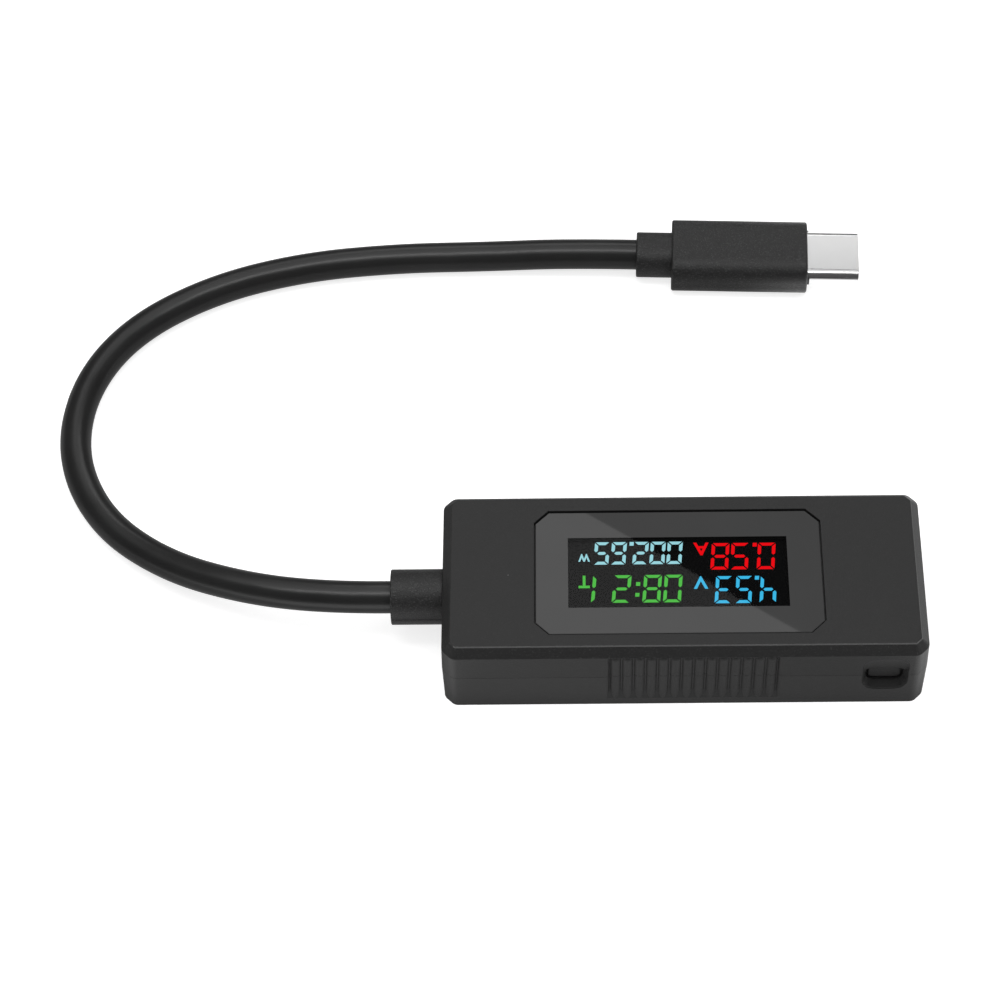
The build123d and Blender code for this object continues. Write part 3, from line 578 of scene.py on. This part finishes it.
def segment_bars(width, height):
    """The three bars that a digit repeats: its top, its middle and its upper left side."""
    gap = SEGMENT_GAP / 2
    middle = height / 2
    half = STROKE / 2
    corner_in = (gap, height)
    tip = (half + 1.5 * gap, middle)
    far_tip = (width - tip[0], middle)
    top = flat_bar("top_bar", (0, height - STROKE), (width, height), [
        (corner_in, (-1, -1)), ((width - gap, height), (1, -1)),
    ])
    across = flat_bar("middle_bar", (0, middle - half), (width, middle + half), [
        (tip, (-1, 1)), (tip, (-1, -1)), (far_tip, (1, 1)), (far_tip, (1, -1)),
    ])
    foot = (half, middle + 1.5 * gap)
    side = flat_bar("side_bar", (0, middle), (STROKE, height), [
        ((0, height - gap), (1, 1)), (foot, (1, -1)), (foot, (-1, -1)),
    ])
    return top, across, side


def segment_plan(width, height):
    """Each segment's letter with its bar and how that bar is mirrored into place."""
    over = Matrix.Translation((width, 0, 0)) @ Matrix.Scale(-1, 4, (1, 0, 0))
    down = Matrix.Translation((0, height, 0)) @ Matrix.Scale(-1, 4, (0, 1, 0))
    still = Matrix.Identity(4)
    return {
        "a": (0, still), "d": (0, down), "g": (1, still),
        "f": (2, still), "b": (2, over), "e": (2, down), "c": (2, over @ down),
    }


def copy_of(model, place):
    """A copy with its own mesh, moved by a matrix."""
    piece = bpy.data.objects.new(model.name, model.data.copy())
    piece.data.transform(place)
    scene.collection.objects.link(piece)
    return piece


def dot(u, v):
    """A small square point between digits."""
    return flat_bar("dot", (u, v), (u + DOT_SIZE[0], v + DOT_SIZE[1]), [])


def joined(pieces, name):
    """Joins pieces into one, under a new name."""
    bpy.ops.object.select_all(action="DESELECT")
    for piece in pieces:
        piece.select_set(True)
    bpy.context.view_layer.objects.active = pieces[0]
    bpy.ops.object.join()
    pieces[0].name = name
    pieces[0].data.name = name
    return pieces[0]


def thicken(piece):
    """Raises a flat figure to the segments' height and closes it."""
    open_piece(piece)
    bpy.ops.mesh.remove_doubles(threshold=WELD)
    bpy.ops.mesh.extrude_region_move(
        TRANSFORM_OT_translate={"value": (0, 0, SEGMENT_HEIGHT / MM)})
    bpy.ops.mesh.select_all(action="SELECT")
    bpy.ops.mesh.normals_make_consistent(inside=False)
    close_piece()


def digits(name, text, left, base, size, pitch, gaps):
    """A row of leaning seven-segment digits, with its points or colon. The gaps say how
    much room each of those takes."""
    width, height = size
    bars = segment_bars(width, height)
    plan = segment_plan(width, height)
    pieces = []
    u = left
    for character in text:
        if character in gaps:
            gap_u = u + (gaps[character] - DOT_SIZE[0]) / 2 - DOT_SHIFT
            heights = (0.0,) if character == "." else COLON_HEIGHTS
            pieces += [dot(gap_u, v) for v in heights]
            u += gaps[character]
            continue
        for letter in DIGIT_SEGMENTS[character]:
            index, mirrored = plan[letter]
            pieces.append(copy_of(bars[index], Matrix.Translation((u, 0, 0)) @ mirrored))
        u += pitch
    for bar in bars:
        bpy.data.objects.remove(bar)
    row = joined(pieces, name)
    lean = Matrix.Identity(4)
    lean[0][1] = LEAN
    row.data.transform(Matrix.Translation((0, base, 0)) @ lean)
    thicken(row)
    return row


def unit_letter(name, character, low, high, weight):
    """A unit's capital letter, made bolder by a weight and fitted between two corners."""
    bpy.ops.object.select_all(action="DESELECT")
    bpy.ops.object.text_add(location=(0, 0, 0))
    letter = bpy.context.object
    letter.data.body = character
    letter.data.offset = weight
    letter.data.resolution_u = 3
    bpy.ops.object.convert(target="MESH")
    letter = bpy.context.object
    letter.name = name
    corners = [Vector(corner) for corner in letter.bound_box]
    start = Vector((min(c.x for c in corners), min(c.y for c in corners), 0))
    end = Vector((max(c.x for c in corners), max(c.y for c in corners), 0))
    grow = [(b - a) / (d - c) for a, b, c, d in zip(low, high, start, end)]
    fit = Matrix.Translation((*low, 0)) @ Matrix.Diagonal((*grow, 1, 1))
    letter.data.transform(fit @ Matrix.Translation(-start))
    thicken(letter)
    return letter


def mount_readout(pieces, name, colour):
    """Joins a readout, turns it to face the far side and lays it on the glass."""
    readout = joined(pieces, name)
    turned = Matrix.Rotation(math.pi, 4, "Z") @ Matrix.Scale(MM, 4)
    place = Matrix.Translation(READOUT_ORIGIN + Vector((0, 0, SEGMENT_LOW)))
    readout.data.transform(place @ turned)
    readout.data.materials.clear()
    readout.data.materials.append(SEGMENT_COLOURS[colour])
    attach(readout, "root")


mount_readout([
    digits("volts", "4.53", -12.3, 0.56, (2.02, 4.0), 2.52, {".": 0.50}),
    unit_letter("volts_unit", "V", (-3.72, 0.54), (-1.92, 2.40), 0.024),
], "volts_readout", "blue")
mount_readout([
    digits("time", "08:21", -0.6, 0.28, (2.22, 4.08), 2.56, {":": 1.22}),
    unit_letter("time_unit", "T", (10.96, 0.30), (12.36, 2.16), 0.030),
], "time_readout", "green")
mount_readout([
    digits("amps", "0.58", -12.34, -4.4, (2.20, 3.96), 2.46, {".": 0.84}),
    unit_letter("amps_unit", "A", (-3.96, -4.50), (-2.04, -2.60), 0.022),
], "amps_readout", "red")
mount_readout([
    digits("watts", "002.65", -0.76, -4.7, (1.88, 3.36), 2.12, {".": 0.62}),
    unit_letter("watts_unit", "W", (10.90, -2.96), (12.36, -1.80), 0.040),
], "watts_readout", "cyan")


# ======== studio ========

FLOOR_SIZE = 6.0
FLOOR_HEIGHT = -0.02 * MM
SKY_RADIANCE = 0.09


def stage_plane(name, height, finish):
    """A wide level plane of the stage."""
    bpy.ops.object.select_all(action="DESELECT")
    bpy.ops.mesh.primitive_plane_add(size=FLOOR_SIZE, location=(0, 0, height))
    plane = bpy.context.object
    plane.name = name
    plane.data.materials.append(finish)
    return plane


def studio_floor():
    """A wide plain white floor, lit a little from within so that it stays even."""
    finish = Finish("studio_floor")
    cloud = finish.noise(60 * MM)
    floor = stage_plane("floor", FLOOR_HEIGHT, finish.surface(
        Base_Color=finish.mix(cloud, grey(0.56), grey(0.58)),
        Roughness=0.9,
        Emission_Color=grey(1.0),
        Emission_Strength=0.76,
        Specular_IOR_Level=0.0,
    ))
    floor.visible_glossy = False


MIRRORED_HEIGHT = -0.03 * MM
MIRRORED_WHITE = 1.6        # radiance that white stands for in the mirrored floor
MIRRORED_LEVEL = 0.36       # its radiance where nothing is added


def floor_mirrored():
    """What the glossy surfaces see of the floor: dim under the cord, brighter beyond the
    case's right end, in front of it and under the plug."""
    finish = Finish("floor_mirrored")
    x, y, _ = finish.axes()
    right = finish.peaks(x, 27.5 * MM, 36.0 * MM)
    front = finish.peaks(y, -11.0 * MM, -14.5 * MM)
    leftward = finish.peaks(x, 25.0 * MM, -25.0 * MM) * front
    corner = finish.peaks(x, -27.0 * MM, -33.0 * MM) * front
    plug = finish.peaks(y, 35.0 * MM, 48.0 * MM) * finish.peaks(x, 8.0 * MM, 22.0 * MM)
    level = MIRRORED_LEVEL + front * 0.12 + leftward * 0.16 + right + corner * 0.6 + plug * 1.1
    plane = stage_plane("floor_mirrored", MIRRORED_HEIGHT, finish.surface(
        Base_Color=grey(0.0),
        Roughness=0.9,
        Emission_Color=finish.mix(level / MIRRORED_WHITE, grey(0.0), grey(1.0)),
        Emission_Strength=MIRRORED_WHITE,
        Specular_IOR_Level=0.0,
    ))
    plane.visible_camera = False
    plane.visible_diffuse = False
    plane.visible_shadow = False


def soft_card(name, centre, aim, size, radiance, turn=0.0, in_gloss=True):
    """A rectangular light of even radiance that faces a point."""
    data = bpy.data.lights.new(name, "AREA")
    data.shape = "RECTANGLE"
    data.size, data.size_y = size
    data.energy = radiance * math.pi * size[0] * size[1]
    light = bpy.data.objects.new(name, data)
    facing = (Vector(aim) - Vector(centre)).to_track_quat("-Z", "Y").to_matrix().to_4x4()
    light.matrix_world = Matrix.Translation(centre) @ facing @ Matrix.Rotation(turn, 4, "Z")
    light.visible_glossy = in_gloss
    scene.collection.objects.link(light)


def studio_sky():
    """An even dim light from all round."""
    world = bpy.data.worlds.new("studio_sky")
    world.use_nodes = True
    world.node_tree.nodes["Background"].inputs["Color"].default_value = grey(SKY_RADIANCE)
    scene.world = world


studio_floor()
floor_mirrored()
studio_sky()
soft_card(
    "window_card", (-0.118, 0.119, 0.5), (-0.118, 0.119, 0), (0.5, 0.5), 0.85,
    turn=math.radians(-34.7),
)
soft_card("plug_card", (0.10, 0.62, 0.5), (0.10, 0.62, 0), (0.5, 0.30), 1.8)
soft_card("strip", (-0.05, -0.06, 0.7), (-0.05, -0.06, 0), (0.65, 0.08), 5.2)
soft_card("overhead", (0.1, 0.0, 1.0), (0, 0, 0), (1.6, 1.6), 1.35, in_gloss=False)
scene.view_settings.view_transform = "Standard"
